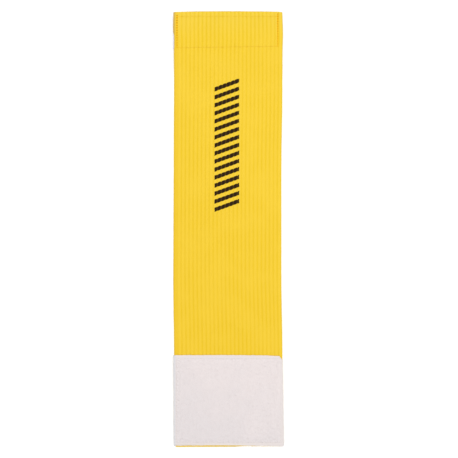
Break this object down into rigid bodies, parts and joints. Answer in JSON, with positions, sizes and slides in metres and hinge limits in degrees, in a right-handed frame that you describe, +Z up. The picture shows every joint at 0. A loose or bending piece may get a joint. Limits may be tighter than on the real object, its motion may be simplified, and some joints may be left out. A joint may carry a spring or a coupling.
{
  "type": "armband",
  "caption": "Flat open armband of wide ribbed elastic, with a soft loop-tape panel sewn on the front of one end and a hook-tape strip sewn under the other.",
  "frame": {"origin": "on the surface that the armband lies on, under the middle of its bounding box", "axes": "+Y along the strip towards the hook end, +X across it to the right, +Z up, out of its printed front"},
  "size_m": [0.0914, 0.3594, 0.0035],
  "materials": {
    "ribbed_elastic": "ribbed woven elastic, yellow, soft sheen",
    "loop_tape": "brushed loop pile, off-white, matte",
    "hook_tape": "woven nylon with monofilament hooks, off-white, slight gloss"
  },
  "bodies": {
    "root": {"elastic_band": "ribbed_elastic", "loop_panel": "loop_tape", "hook_panel": "hook_tape"}
  },
  "joints": []
}
